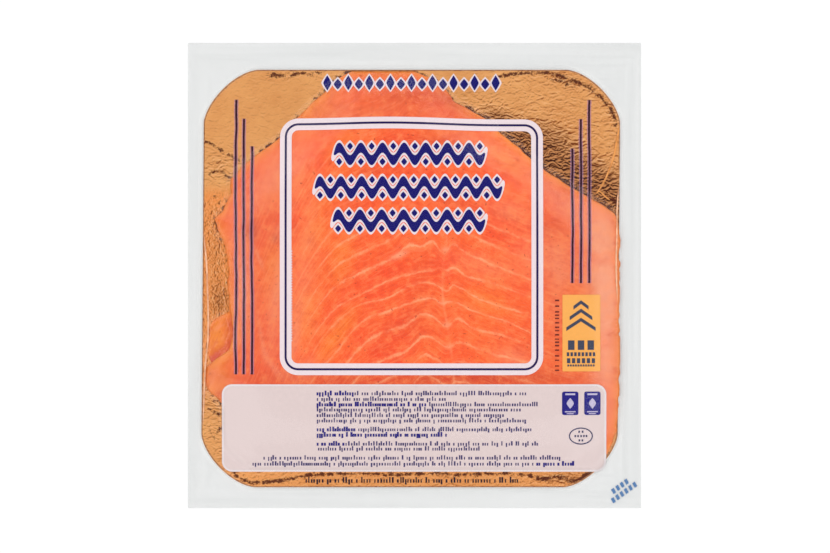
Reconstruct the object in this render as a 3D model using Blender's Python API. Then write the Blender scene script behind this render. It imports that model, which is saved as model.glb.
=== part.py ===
"""Vacuum pack of sliced smoked salmon on a foil board, as one closed solid.

The clear pouch is evacuated, so its film lies on what it holds: the solid runs out
to the film's surface. From the outside in it has the flat seal margin, the
round-cornered board that lifts the film, and the fanned slices lying on the board.
Units are metres. +Z points away from the printed side's back, +X is the print's
right and +Y its top. The origin is on the underside, at the middle of the pouch.
"""
import math

import bmesh
import bpy
import numpy as np

# The pouch: two film webs sealed together round the board.
POUCH_WIDTH = 0.2100
POUCH_LENGTH = 0.2156
SEAL_THICKNESS = 0.0004

# The board under the slices, with film over and under it.
BOARD_WIDTH = 0.1933
BOARD_LENGTH = 0.1947
BOARD_RADIUS = 0.0290
BOARD_CENTRE = (-0.0019, -0.0012)
BOARD_TOP = 0.0014
TENT_WIDTH = 0.0022        # how far the film stands off the board's edge
BOARD_ROUNDING = 0.0007

# The stack of slices on the board.
EDGE_HEIGHT = 0.0034       # height of the outermost slice over the board
MIDDLE_HEIGHT = 0.0062     # height of the overlapping slices in the middle
RISE_LENGTH = 0.0200       # how far in from the edge the stack gains its height
EDGE_ROUNDING = 0.0026
FOOT_WIDTH = 0.0012        # where the film bridges from the slice down to the board
BOARD_RIM = 0.0022         # least strip of board that stays bare round the stack
WAVE_HEIGHT = 0.00035
WAVE_LENGTH = 0.0430

# Corners of the stack's outline, anticlockwise from the middle of the right side.
STACK_OUTLINE = (
    (0.0920, 0.0000), (0.0905, 0.0290), (0.0776, 0.0387), (0.0600, 0.0512),
    (0.0401, 0.0665), (0.0239, 0.0772), (0.0180, 0.0930), (-0.0100, 0.0945),
    (-0.0425, 0.0925), (-0.0475, 0.0800), (-0.0624, 0.0642), (-0.0749, 0.0545),
    (-0.0851, 0.0420), (-0.0925, 0.0262), (-0.0862, 0.0120), (-0.0855, -0.0170),
    (-0.0950, -0.0320), (-0.0955, -0.0540), (-0.0885, -0.0700), (-0.0700, -0.0860),
    (-0.0300, -0.0890), (0.0400, -0.0890), (0.0780, -0.0860), (0.0915, -0.0700),
    (0.0925, -0.0350),
)

# The lower slice looks out past the top one along the left edge.
FOLD_START = (-0.0850, -0.0170)
FOLD_END = (-0.0900, -0.0640)
LOWER_SLICE_DROP = 0.0013
FOLD_WIDTH = 0.0030

POINTS_PER_SIDE = 36
INNER_RINGS = (0.96, 0.91, 0.85, 0.78, 0.69, 0.59, 0.48, 0.36, 0.24, 0.12)
MEAN_STACK_RADIUS = 0.0930
CURVE_STEPS = 24           # points between two corners of a smooth outline


def clear_scene():
    for item in list(bpy.data.objects):
        bpy.data.objects.remove(item, do_unlink=True)


def pouch_edge():
    """Points round the pouch's rectangle, with one on each corner."""
    along = np.arange(POINTS_PER_SIDE) / POINTS_PER_SIDE * 2.0 - 1.0
    ones = np.ones(POINTS_PER_SIDE)
    x = np.concatenate([ones, -along, -ones, along]) * POUCH_WIDTH / 2
    y = np.concatenate([along, ones, -along, -ones]) * POUCH_LENGTH / 2
    return np.column_stack([x, y])


def board_outline():
    """Board outline: an arc at each corner, joined by straight sides."""
    reach_x = BOARD_WIDTH / 2 - BOARD_RADIUS
    reach_y = BOARD_LENGTH / 2 - BOARD_RADIUS
    points = []
    for quarter in range(4):
        turn = np.linspace(quarter, quarter + 1, CURVE_STEPS) * math.pi / 2
        side_x = 1 if quarter in (0, 3) else -1
        side_y = 1 if quarter in (0, 1) else -1
        x = BOARD_CENTRE[0] + side_x * reach_x + BOARD_RADIUS * np.cos(turn)
        y = BOARD_CENTRE[1] + side_y * reach_y + BOARD_RADIUS * np.sin(turn)
        points.append(np.column_stack([x, y]))
    return subdivide(np.concatenate(points))


def subdivide(outline):
    """The same outline with each of its sides cut into short, equal pieces."""
    step = np.arange(CURVE_STEPS)[None, :, None] / CURVE_STEPS
    start = outline[:, None, :]
    end = np.roll(outline, -1, axis=0)[:, None, :]
    return (start + (end - start) * step).reshape(-1, 2)


def stack_outline():
    """Catmull-Rom curve through the corners of the stack of slices."""
    corners = np.array(STACK_OUTLINE)
    before = np.roll(corners, 1, axis=0)[:, None, :]
    start = corners[:, None, :]
    end = np.roll(corners, -1, axis=0)[:, None, :]
    after = np.roll(corners, -2, axis=0)[:, None, :]
    t = np.arange(CURVE_STEPS)[None, :, None] / CURVE_STEPS
    curve = 2 * start + (end - before) * t
    curve = curve + (2 * before - 5 * start + 4 * end - after) * t ** 2
    curve = curve + (3 * start - before - 3 * end + after) * t ** 3
    return (curve / 2).reshape(-1, 2)


def reach(outline, angle):
    """Distance from the origin to the outline in each direction."""
    turn = np.arctan2(outline[:, 1], outline[:, 0])
    return np.interp(angle, turn, np.hypot(outline[:, 0], outline[:, 1]), period=2 * math.pi)


def smooth_step(value):
    value = np.clip(value, 0.0, 1.0)
    return value * value * (3 - 2 * value)


def fold_drop(x, y):
    """How far the lower slice lies below the top one, left of the fold line."""
    along = np.subtract(FOLD_END, FOLD_START)
    along = along / np.hypot(*along)
    from_start = (x - FOLD_START[0], y - FOLD_START[1])
    outside = along[1] * from_start[0] - along[0] * from_start[1]
    below_start = along[0] * from_start[0] + along[1] * from_start[1]
    return LOWER_SLICE_DROP * smooth_step(outside / FOLD_WIDTH) * smooth_step(below_start / FOLD_WIDTH)


def slice_height(x, y, inset):
    """Film height over the slices: it rises from their edge inwards, in low waves."""
    rise = 1 - np.exp(-inset / RISE_LENGTH)
    height = EDGE_HEIGHT + (MIDDLE_HEIGHT - EDGE_HEIGHT) * rise
    turn = 2 * math.pi / WAVE_LENGTH
    waves = np.sin(turn * (0.8 * x + y)) * np.cos(turn * (x - 0.35 * y) * 0.7)
    return BOARD_TOP + height + WAVE_HEIGHT * rise * waves - fold_drop(x, y)


def surface_rings():
    """Rings of points from the pouch's edge inwards, over its whole upper surface."""
    edge = pouch_edge()
    angle = np.arctan2(edge[:, 1], edge[:, 0])
    board = reach(board_outline(), angle)
    stack = np.minimum(reach(stack_outline(), angle), board - BOARD_RIM)
    flat_stack = stack - EDGE_ROUNDING

    def ring(radius, height):
        x = radius * np.cos(angle)
        y = radius * np.sin(angle)
        return np.column_stack([x, y, height + 0 * x])

    def on_slices(radius, inset, sunk=0.0):
        x = radius * np.cos(angle)
        y = radius * np.sin(angle)
        return np.column_stack([x, y, slice_height(x, y, inset) - sunk])

    rings = [
        np.column_stack([edge, np.zeros(len(edge))]),
        np.column_stack([edge, np.full(len(edge), SEAL_THICKNESS)]),
        ring((np.hypot(edge[:, 0], edge[:, 1]) + board) / 2, SEAL_THICKNESS),
        ring(board + TENT_WIDTH, SEAL_THICKNESS),
        ring(board, BOARD_TOP - BOARD_ROUNDING / 2),
        ring(board - BOARD_ROUNDING, BOARD_TOP),
        ring(stack + FOOT_WIDTH / 2, BOARD_TOP),
        ring(stack, BOARD_TOP + EDGE_HEIGHT * 0.45),
        on_slices(stack - EDGE_ROUNDING * 0.35, 0.0, EDGE_HEIGHT * 0.16),
        on_slices(flat_stack, EDGE_ROUNDING),
    ]
    for share in INNER_RINGS:
        rings.append(on_slices(flat_stack * share, EDGE_ROUNDING + MEAN_STACK_RADIUS * (1 - share)))
    return rings


def pouch_mesh(name):
    """Closed mesh: the rings joined by quads, a fan at the middle, and a flat base."""
    rings = surface_rings()
    count = len(rings[0])
    mesh = bmesh.new()
    rows = [[mesh.verts.new(point) for point in ring] for ring in rings]
    for outer, inner in zip(rows, rows[1:]):
        for i in range(count):
            j = (i + 1) % count
            mesh.faces.new((outer[i], outer[j], inner[j], inner[i]))
    middle = mesh.verts.new((0, 0, float(slice_height(0.0, 0.0, MEAN_STACK_RADIUS))))
    for i in range(count):
        mesh.faces.new((rows[-1][i], rows[-1][(i + 1) % count], middle))
    mesh.faces.new(list(reversed(rows[0])))
    bmesh.ops.recalc_face_normals(mesh, faces=mesh.faces)
    data = bpy.data.meshes.new(name)
    mesh.to_mesh(data)
    mesh.free()
    data.shade_smooth()
    data.set_sharp_from_angle(angle=math.radians(50))
    return data


def film_over_salmon():
    """Glossy clear film over orange fish: the solid's one colour is the fish's."""
    material = bpy.data.materials.new("film_over_salmon")
    material.use_nodes = True
    shader = material.node_tree.nodes["Principled BSDF"]
    shader.inputs["Base Color"].default_value = (0.90, 0.15, 0.05, 1)
    shader.inputs["Roughness"].default_value = 0.25
    shader.inputs["Metallic"].default_value = 0.0
    return material


def add_pouch():
    data = pouch_mesh("pouch")
    data.materials.append(film_over_salmon())
    pouch = bpy.data.objects.new("pouch", data)
    bpy.context.scene.collection.objects.link(pouch)
    return pouch


clear_scene()
add_pouch()
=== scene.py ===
import math

import bpy
import numpy as np
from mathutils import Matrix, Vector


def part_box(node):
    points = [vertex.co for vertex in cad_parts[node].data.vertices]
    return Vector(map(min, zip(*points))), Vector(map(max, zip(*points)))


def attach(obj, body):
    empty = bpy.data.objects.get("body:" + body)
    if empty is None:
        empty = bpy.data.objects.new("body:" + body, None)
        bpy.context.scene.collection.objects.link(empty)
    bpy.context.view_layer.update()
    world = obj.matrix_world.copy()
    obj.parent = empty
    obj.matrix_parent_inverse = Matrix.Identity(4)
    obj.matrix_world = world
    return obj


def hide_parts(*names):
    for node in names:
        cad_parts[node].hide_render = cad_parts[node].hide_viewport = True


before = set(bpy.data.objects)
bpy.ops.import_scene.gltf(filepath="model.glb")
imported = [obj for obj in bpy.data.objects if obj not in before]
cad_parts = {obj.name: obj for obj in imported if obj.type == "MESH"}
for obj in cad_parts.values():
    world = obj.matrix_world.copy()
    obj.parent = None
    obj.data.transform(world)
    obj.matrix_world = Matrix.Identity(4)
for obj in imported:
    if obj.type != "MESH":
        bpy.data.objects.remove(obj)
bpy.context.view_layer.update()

# Vacuum pack of sliced smoked salmon, lying printed side up. Metres throughout:
# +X is the print's right, +Y its top and +Z up out of the pack.
pouchLow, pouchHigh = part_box("pouch")
mm = 0.001
print("frame loaded, pouch", [round(v / mm, 1) for v in pouchHigh - pouchLow], "mm")


def smoothStep(value):
    # 0 below 0, 1 above 1, and a cubic ease between
    value = np.clip(value, 0.0, 1.0)
    return value * value * (3 - 2 * value)


def softNoise(x, y, sizeX, sizeY, seed):
    # Value noise from -1 to 1: random heights on a lattice of sizeX by sizeY cells,
    # blended with a fifth-degree ease so that slopes and bends stay smooth.
    lattice = np.random.RandomState(seed).rand(97, 97) * 2 - 1
    u, v = x / sizeX + 31.4, y / sizeY + 27.1
    column, row = np.floor(u).astype(int), np.floor(v).astype(int)
    a, b = u - column, v - row
    a, b = (t * t * t * (t * (6 * t - 15) + 10) for t in (a, b))
    left, right, low, high = column % 97, (column + 1) % 97, row % 97, (row + 1) % 97
    bottom = lattice[low, left] * (1 - a) + lattice[low, right] * a
    top = lattice[high, left] * (1 - a) + lattice[high, right] * a
    return bottom * (1 - b) + top * b


def layeredNoise(x, y, sizeX, sizeY, seed, layers=3):
    # each layer is half the size and half the strength of the one before
    total, strength = 0.0, 1.0
    for layer in range(layers):
        share = 2.0 ** layer
        total = total + strength * softNoise(x, y, sizeX / share, sizeY / share, seed + layer)
        strength *= 0.5
    return total / (2 - 2 * strength)


def curveThrough(points, at):
    # x as a smooth function of y: Catmull-Rom slopes between the listed (x, y) points
    known = np.array(sorted((y, x) for x, y in points)) * mm
    y, x = known[:, 0], known[:, 1]
    slope = np.gradient(x, y)
    at = np.clip(at, y[0], y[-1])
    k = np.clip(np.searchsorted(y, at) - 1, 0, len(y) - 2)
    span = y[k + 1] - y[k]
    t = (at - y[k]) / span
    start = (1 + 2 * t) * (1 - t) ** 2 * x[k] + t * (1 - t) ** 2 * span * slope[k]
    end = t * t * (3 - 2 * t) * x[k + 1] + t * t * (t - 1) * span * slope[k + 1]
    return start + end


def gridLines(start, end, fineZones, fine, coarse, ease=6 * mm):
    # positions from start to end, spaced fine inside the zones and coarse well outside
    t = np.linspace(start, end, 6000)
    near = np.zeros_like(t)
    for low, high in fineZones:
        outside = np.maximum(low - t, t - high)
        near = np.maximum(near, 1 - smoothStep(outside / ease))
    count = np.cumsum(1 / (coarse + (fine - coarse) * near)) * (t[1] - t[0])
    count -= count[0]
    steps = max(2, int(round(count[-1])))
    return np.interp(np.linspace(0, count[-1], steps + 1), count, t)


def roundedSpan(y, width, length, radius, power=2.0):
    # Half the width of a round-cornered rectangle at height y above its middle. The
    # corner is u^power + v^power = 1: a circle for 2, flatter across for less.
    into = np.clip(np.abs(y) - (length / 2 - radius), 0, radius) / radius
    return width / 2 - radius + radius * (1 - into ** power) ** (1 / power)


def cornerInset(x, y, width, length, radius, power=2.0):
    # distance inside such a rectangle's edge, negative outside it
    overX = np.abs(x) - (width / 2 - radius)
    overY = np.abs(y) - (length / 2 - radius)
    outer = (np.maximum(overX, 0) ** power + np.maximum(overY, 0) ** power) ** (1 / power)
    return radius - outer - np.minimum(np.maximum(overX, overY), 0)


def spanGrid(rows, left, right, columns):
    # each row of points runs from left[row] to right[row]; columns go from 0 to 1
    x = left[:, None] + (right - left)[:, None] * columns[None, :]
    return x, np.repeat(rows[:, None], len(columns), axis=1)


def bandGrid(path, width, across, closed=False):
    # a profile of `across` steps carried along a path, square to its direction
    if closed:
        ahead = np.roll(path, -1, axis=0) - np.roll(path, 1, axis=0)
    else:
        ahead = np.gradient(path, axis=0)
    ahead = ahead / np.linalg.norm(ahead, axis=1)[:, None]
    side = np.column_stack([-ahead[:, 1], ahead[:, 0]])
    offset = np.linspace(0.5, -0.5, across + 1)
    reach = np.broadcast_to(width, (len(path),))[:, None] * offset[None, :]
    x = path[:, 0:1] + side[:, 0:1] * reach
    y = path[:, 1:2] + side[:, 1:2] * reach
    return x, y


def roundedPath(centre, size, radius, step, power=2.0):
    # points round such a rectangle, anticlockwise from its lower right side
    halfX, halfY = size[0] / 2 - radius, size[1] / 2 - radius
    arcs = []
    for quarter in range(4):
        turn = np.linspace(quarter - 1, quarter, 24) * math.pi / 2
        signX, signY = (1, 1, -1, -1)[quarter], (-1, 1, 1, -1)[quarter]
        arcs.append(np.column_stack([
            centre[0] + signX * (halfX + radius * np.abs(np.cos(turn)) ** (2 / power)),
            centre[1] + signY * (halfY + radius * np.abs(np.sin(turn)) ** (2 / power)),
        ]))
    corners = np.concatenate(arcs + [arcs[0][:1]])
    length = np.append(0, np.cumsum(np.hypot(*np.diff(corners, axis=0).T)))
    at = np.linspace(0, length[-1], int(length[-1] / step))[:-1]
    return np.column_stack([np.interp(at, length, corners[:, k]) for k in (0, 1)])


def sheetParts(x, y, top, bottom, wrap=False):
    # Points and quads of a closed thin sheet. The top grid faces up, the bottom grid
    # faces down and a wall joins them round the rim. A wrapped sheet closes on itself.
    rows, columns = x.shape
    count = rows * columns
    points = np.concatenate([
        np.stack([x, y, top + 0 * x], axis=-1).reshape(-1, 3),
        np.stack([x, y, bottom + 0 * x], axis=-1).reshape(-1, 3),
    ])
    index = np.arange(count).reshape(rows, columns)
    if wrap:
        index = np.concatenate([index, index[:1]])
    a, b, c, d = index[:-1, :-1], index[:-1, 1:], index[1:, 1:], index[1:, :-1]
    upper = np.stack([a, b, c, d], axis=-1).reshape(-1, 4)
    lower = np.stack([d, c, b, a], axis=-1).reshape(-1, 4) + count
    rims = [index[:, -1], index[::-1, 0]]
    if not wrap:
        rims = [np.concatenate([index[0, :-1], index[:-1, -1], index[-1, :0:-1], index[:0:-1, 0]])]
        rims = [np.append(rims[0], rims[0][0])]
    walls = [np.stack([r[:-1] + count, r[1:] + count, r[1:], r[:-1]], axis=-1) for r in rims]
    return points, np.concatenate([upper, lower] + walls)


def addPiece(name, parts, material, smoothAngle=40):
    # joins the (points, quads) parts into one mesh object that rides on the pack
    points, quads, start = [], [], 0
    for somePoints, someQuads in parts:
        points.append(somePoints)
        quads.append(someQuads + start)
        start += len(somePoints)
    points, quads = np.concatenate(points), np.concatenate(quads)
    mesh = bpy.data.meshes.new(name)
    mesh.vertices.add(len(points))
    mesh.vertices.foreach_set("co", points.astype(np.float32).ravel())
    mesh.loops.add(quads.size)
    mesh.loops.foreach_set("vertex_index", quads.astype(np.int32).ravel())
    mesh.polygons.add(len(quads))
    mesh.polygons.foreach_set("loop_start", np.arange(0, quads.size, 4, dtype=np.int32))
    mesh.update(calc_edges=True)
    mesh.shade_smooth()
    mesh.set_sharp_from_angle(angle=math.radians(smoothAngle))
    mesh.materials.append(material)
    piece = bpy.data.objects.new(name, mesh)
    bpy.context.scene.collection.objects.link(piece)
    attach(piece, "root")
    return piece


def addPointValue(piece, name, values):
    # stores one number for each vertex; a closed sheet repeats its top grid's numbers
    values = np.tile(np.asarray(values, dtype=np.float32).ravel(), 2)
    piece.data.attributes.new(name, "FLOAT", "POINT").data.foreach_set("value", values)


def addUv(piece, name, u, v):
    corners = np.empty(len(piece.data.loops), dtype=np.int32)
    piece.data.loops.foreach_get("vertex_index", corners)
    uv = np.column_stack([np.tile(u.ravel(), 2), np.tile(v.ravel(), 2)])[corners]
    piece.data.uv_layers.new(name=name).data.foreach_set("uv", uv.astype(np.float32).ravel())


def hexColour(code, alpha=1.0):
    # sRGB hex to linear light
    parts = [int(code[i:i + 2], 16) / 255 for i in (1, 3, 5)]
    linear = [p / 12.92 if p <= 0.04045 else ((p + 0.055) / 1.055) ** 2.4 for p in parts]
    return (*linear, alpha)


def newMaterial(name):
    material = bpy.data.materials.new(name)
    material.use_nodes = True
    material.node_tree.nodes.clear()
    return material, material.node_tree


def addNode(tree, kind, inputs=None, **settings):
    # inputs maps a socket's name or number to a value, or to another node's output
    node = tree.nodes.new(kind)
    for key, value in settings.items():
        setattr(node, key, value)
    for key, value in (inputs or {}).items():
        if isinstance(value, bpy.types.NodeSocket):
            tree.links.new(value, node.inputs[key])
        else:
            node.inputs[key].default_value = value
    return node


board = {
    "width": 192.9 * mm, "length": 193.4 * mm, "radius": 24.5 * mm, "cornerPower": 1.55,
    "centreX": -1.75 * mm, "centreY": -1.4 * mm,
    "lean": 0.0075,                    # its sides lean over to the right towards the top
    "underside": 0.16 * mm, "thickness": 0.95 * mm, "foil": 0.05 * mm,
    "rimWidth": 0.55 * mm,
}

# Edges of the slices as (x, y) in millimetres, from the pack's middle
topSlice = {
    "left": (
        (-29.4, 94.6), (-35.5, 91.0), (-42.2, 84.6), (-47.5, 80.0), (-52.6, 74.9), (-62.4, 64.2),
        (-74.9, 54.5), (-82.7, 47.5), (-85.1, 43.0), (-85.4, 37.5), (-88.8, 30.6),
        (-92.3, 26.0), (-91.6, 21.5), (-88.8, 16.5), (-86.8, 8.0), (-86.3, -6.0),
        (-85.6, -16.0), (-84.4, -22.0), (-84.6, -29.0), (-87.2, -35.4), (-93.0, -39.4),
        (-96.4, -43.0), (-96.6, -48.0), (-95.2, -53.0), (-91.0, -57.0), (-87.6, -72.0),
        (-84.5, -82.0), (-78.0, -88.3),
    ),
    "right": (
        (-0.7, 94.6), (8.5, 91.0), (15.8, 84.5), (18.9, 80.6), (32.2, 73.0), (39.4, 66.6),
        (49.8, 58.0), (59.0, 50.0), (72.8, 40.7), (83.1, 35.0), (89.2, 31.2),
        (92.6, 29.0), (94.3, 25.0), (95.0, 8.0), (94.9, -20.0), (94.8, -52.0), (94.3, -66.0),
        (92.6, -75.0), (89.4, -82.5), (83.5, -88.3),
    ),
    "thickness": 2.9 * mm, "edge": 0.6 * mm, "rounding": 0.8 * mm, "gain": 17 * mm,
    "tail": 26 * mm,
}
lowerSlice = {
    "left": (
        (-34.0, 88.0), (-40.0, 74.0), (-58.0, 58.0), (-78.0, 40.0), (-83.0, 24.0),
        (-80.0, 5.0), (-80.0, -11.0), (-85.6, -16.6), (-91.7, -19.6), (-94.6, -23.4),
        (-95.3, -30.0), (-95.2, -37.0), (-93.6, -42.0), (-90.0, -52.0), (-84.0, -64.0),
        (-80.0, -78.0), (-74.0, -84.0),
    ),
    "right": (
        (10.0, 88.0), (12.0, 74.0), (34.0, 61.0), (58.0, 45.0), (78.0, 30.0),
        (86.0, 12.0), (87.0, -30.0), (85.0, -66.0), (74.0, -84.0),
    ),
    "thickness": 3.4 * mm, "edge": 0.45 * mm, "rounding": 0.8 * mm, "gain": 24 * mm,
    "tail": 34 * mm,
}
film = {
    "seal": 0.34 * mm, "clearance": 0.32 * mm,
    "tentWidth": 1.1 * mm, "rasterStep": 0.5 * mm,
}


def sliceEdges(piece, rows):
    # the knife leaves both edges ragged by up to a millimetre
    ragged = [0.95 * mm * layeredNoise(0 * rows, rows, 1, 3.0 * mm, seed, 2) for seed in (81, 83)]
    return curveThrough(piece["left"], rows) + ragged[0], curveThrough(piece["right"], rows) - ragged[1]


def sliceInset(piece, x, y):
    # distance inside the slice's outline, negative outside: the nearest of many points
    # along the outline gives the distance, and the span at this y gives the sign
    low, high = piece["left"][-1][1] * mm, piece["left"][0][1] * mm
    rows = np.linspace(low, high, 420)
    left, right = sliceEdges(piece, rows)
    ends = np.linspace(0, 1, 90)
    edgeX = np.concatenate([left, right] + [left[k] + (right[k] - left[k]) * ends for k in (0, -1)])
    edgeY = np.concatenate([rows, rows, np.full(90, low), np.full(90, high)])
    flatX, flatY = x.ravel(), y.ravel()
    nearest = [
        np.sqrt(((a[:, None] - edgeX) ** 2 + (b[:, None] - edgeY) ** 2).min(axis=1))
        for a, b in zip(np.array_split(flatX, 60), np.array_split(flatY, 60))
    ]
    left, right = sliceEdges(piece, y)
    inside = (x > left) & (x < right) & (y > low) & (y < high)
    return np.where(inside, 1, -1) * np.concatenate(nearest).reshape(x.shape)


def sliceThickness(piece, inset, y):
    # a quarter ellipse rounds the cut edge, the slice thickens slowly inwards and
    # thins again towards its tail end
    low = piece["left"][-1][1] * mm
    tail = 0.3 + 0.7 * smoothStep((y - low) / piece["tail"])
    body = piece["thickness"] * tail - piece["edge"]
    full = piece["edge"] + np.maximum(body, 0) * (1 - np.exp(-np.maximum(inset, 0) / piece["gain"]))
    into = np.clip(inset / piece["rounding"], 0, 1)
    return full * np.sqrt(1 - (1 - into) ** 2)


rasterX = np.arange(pouchLow.x - 3 * mm, pouchHigh.x + 3 * mm, film["rasterStep"])
rasterY = np.arange(pouchLow.y - 3 * mm, pouchHigh.y + 3 * mm, film["rasterStep"])
gridX, gridY = np.meshgrid(rasterX, rasterY)


def readRaster(values, x, y):
    # bilinear blend of a table of values on the pouch's square lattice
    u = np.clip((x - rasterX[0]) / film["rasterStep"], 0, len(rasterX) - 1.001)
    v = np.clip((y - rasterY[0]) / film["rasterStep"], 0, len(rasterY) - 1.001)
    column, row = u.astype(int), v.astype(int)
    a, b = u - column, v - row
    low = values[row, column] * (1 - a) + values[row, column + 1] * a
    high = values[row + 1, column] * (1 - a) + values[row + 1, column + 1] * a
    return low * (1 - b) + high * b


def pathPoints(points, step):
    # evenly spaced points on a smooth open curve through the listed (x, y) millimetres:
    # x and y each follow Catmull-Rom slopes along the chord length
    known = np.array(points) * mm
    chord = np.append(0, np.cumsum(np.hypot(*np.diff(known, axis=0).T)))
    at = np.linspace(0, chord[-1], max(2, int(chord[-1] / step)) + 1)
    k = np.clip(np.searchsorted(chord, at, side="right") - 1, 0, len(chord) - 2)
    span = (chord[k + 1] - chord[k])[:, None]
    t = ((at - chord[k]) / (chord[k + 1] - chord[k]))[:, None]
    slope = np.gradient(known, chord, axis=0)
    start = (1 + 2 * t) * (1 - t) ** 2 * known[k] + t * (1 - t) ** 2 * span * slope[k]
    end = t * t * (3 - 2 * t) * known[k + 1] + t * t * (t - 1) * span * slope[k + 1]
    return start + end


def closeTo(x, y, path, width):
    # 1 on the path, falling off as a bell curve of the given width
    flatX, flatY = x.ravel(), y.ravel()
    nearest = [
        ((a[:, None] - path[:, 0]) ** 2 + (b[:, None] - path[:, 1]) ** 2).min(axis=1)
        for a, b in zip(np.array_split(flatX, 40), np.array_split(flatY, 40))
    ]
    return np.exp(-np.concatenate(nearest).reshape(x.shape) / width ** 2)


def softSpots(x, y, spots):
    # sum of turned, elliptical bell curves: (x, y, half length, half width, degrees, height)
    total = 0 * x
    for centreX, centreY, halfLength, halfWidth, degrees, height in spots:
        turn = math.radians(degrees)
        along = (x - centreX * mm) * math.cos(turn) + (y - centreY * mm) * math.sin(turn)
        across = (y - centreY * mm) * math.cos(turn) - (x - centreX * mm) * math.sin(turn)
        total = total + height * np.exp(-(along / (halfLength * mm)) ** 2 - (across / (halfWidth * mm)) ** 2)
    return total


def boardMiddle(y):
    return board["centreX"] + board["lean"] * (y - board["centreY"])


def boardInset(x, y):
    return cornerInset(x - boardMiddle(y), y - board["centreY"],
                       board["width"], board["length"], board["radius"], board["cornerPower"])


topInsetTable = sliceInset(topSlice, gridX, gridY)
lowerInsetTable = sliceInset(lowerSlice, gridX, gridY)

# Where the foil is crushed and folded: curves through (x, y) in millimetres, each with
# the fold's half width and the depth of its painted shade, and spots as softSpots takes them
crush = {
    "foldShade": (
        (((-85, -90), (-80, -94.4), (-68, -95.9), (-59, -94.6), (-49, -92.4), (-38, -91.9),
          (-24, -91.7), (-8, -92.4), (6, -91.6), (22, -92.3), (38, -91.8), (52, -92.4)), 0.9, 0.98),
        (((52, -92.4), (60, -94.2), (67, -93.2), (74, -95.2), (82, -90.4)), 1.1, 1.0),
        (((-52, -95.6), (-30, -94.8), (-10, -94.2), (14, -94.6)), 0.7, 0.6),
        (((-97, 62), (-93, 60.5), (-88, 57), (-84, 54.6), (-78, 53.4)), 0.9, 0.85),
        (((-95, 47), (-90, 48.4), (-86, 45.6), (-83, 44)), 1.0, 0.85),
        (((-96, 54), (-91, 52.5), (-86, 49)), 0.8, 0.6),
        (((-93, 37), (-90, 35), (-92, 31)), 1.0, 0.7),
        (((-93, -58), (-87.5, -60.4)), 0.9, 0.9),
        (((-95, -62), (-91, -64.5), (-88, -64)), 0.9, 0.9),
        (((-93, -75), (-90, -71), (-87.5, -68.5)), 1.1, 0.8),
        (((-96.5, -69), (-95, -72), (-91, -76)), 0.9, 0.7),
        (((-68, 93.4), (-60, 92.8), (-52, 93.6), (-44, 93.8)), 1.1, 0.9),
        (((37, 91.6), (44, 93.0), (56, 94.1), (63.6, 94.0)), 0.9, 1.0),
        (((63.6, 94.0), (69.3, 91.6), (76.3, 89.4), (81.8, 86.2), (86.6, 82.4), (91.1, 76.6),
          (93.6, 70)), 1.2, 0.95),
        (((62, 91.4), (68, 89.8), (74, 87.6)), 1.2, 0.8),
        (((94, 66), (92.6, 62), (92.6, 56)), 1.0, 0.6),
        (((-95.5, 80), (-90, 85), (-84, 89)), 0.7, 0.6),
        (((88, 39), (91, 35.5), (94, 34)), 1.8, 0.8),
    ),
    "spots": (
        (87, 38, 5, 9, 10, 0.35), (42, 71, 10, 5, -30, 0.3), (-91, -66, 5, 12, 0, 0.06),
        (64, 66, 14, 8, -20, 0.15), (-89, 50, 8, 7, 0, 0.25), (-92, 12, 4, 26, 0, 0.1),
        (-90, -12, 4, 7, 0, 0.25), (70, -94, 14, 3, 0, 0.35), (70, 91, 9, 3, -20, 0.25),
        (91, 78, 3, 9, 0, 0.2), (-56, 93, 14, 2.5, 0, 0.15),
    ),
    "reach": (12 * mm, 15 * mm),       # how far the crushing beside the slice spreads
    "gap": 1.5 * mm,                   # half width of the painted shadow in the gap along the slice
}


def foilCrush(x, y):
    # 0 to 1: strongest beside the slice at the top right, where it spreads ever wider
    # to the right, and in the listed spots; faint down the left; next to none else
    # the same number raises the foil's relief and, in the foil's material, sets the strength of its painted crease
    # shade and painted highlights and of its painted darkening beside the slice
    beside = np.maximum(-topInsetTable, 0)
    right = smoothStep((x - 16 * mm) / (40 * mm)) * smoothStep((y - 20 * mm) / (16 * mm))
    left = smoothStep((-78 * mm - x) / (8 * mm)) * smoothStep((42 * mm - y) / (14 * mm))
    left = left * (1 - 0.6 * smoothStep((-54 * mm - y) / (10 * mm)))
    foot = smoothStep((-88 * mm - y) / (3 * mm))
    reach = crush["reach"][0] + crush["reach"][1] * smoothStep((x - 36 * mm) / (36 * mm))
    total = 0.045 + right * (0.12 + 0.84 * smoothStep(1 - beside / reach)) + 0.26 * left + 0.14 * foot
    return np.clip(total + softSpots(x, y, crush["spots"]), 0, 1)


def foilFoldShade(x, y):
    # Painted shade: 1 in the gap along the slice and in the listed folds, falling evenly to 0
    # at three half widths from them; the foil's material tears the fall into a ragged dark line
    level = 0.85 + 0.3 * layeredNoise(x, y, 11 * mm, 11 * mm, 67, 2)
    level = level - 0.22 * smoothStep((-72 * mm - x) / (10 * mm))
    gap = level * (1 + np.minimum(readRaster(topInsetTable, x, y), 0) / (3 * crush["gap"]))
    total = np.maximum(gap, 0)
    for points, width, depth in crush["foldShade"]:
        near = np.sqrt(-np.log(np.maximum(closeTo(x, y, pathPoints(points, 0.5 * mm), 3 * width * mm), 1e-9)))
        total = np.maximum(total, depth * (1 - near))
    return np.clip(total, 0, 1)


crushTable = foilCrush(gridX, gridY)


def foilWrinkles(x, y):
    # short ridges lying mostly along x, about 4 mm long and 1.7 mm from one to the next
    bend = 0.8 * mm * softNoise(x, y, 9 * mm, 7 * mm, 12)
    return layeredNoise(x, y + bend, 4.2 * mm, 1.7 * mm, 11, 2)


def boardTop(x, y):
    base = board["underside"] + board["thickness"] + board["foil"]
    return base + readRaster(crushTable, x, y) * 0.2 * mm * (0.5 + 0.5 * foilWrinkles(x, y))


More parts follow.
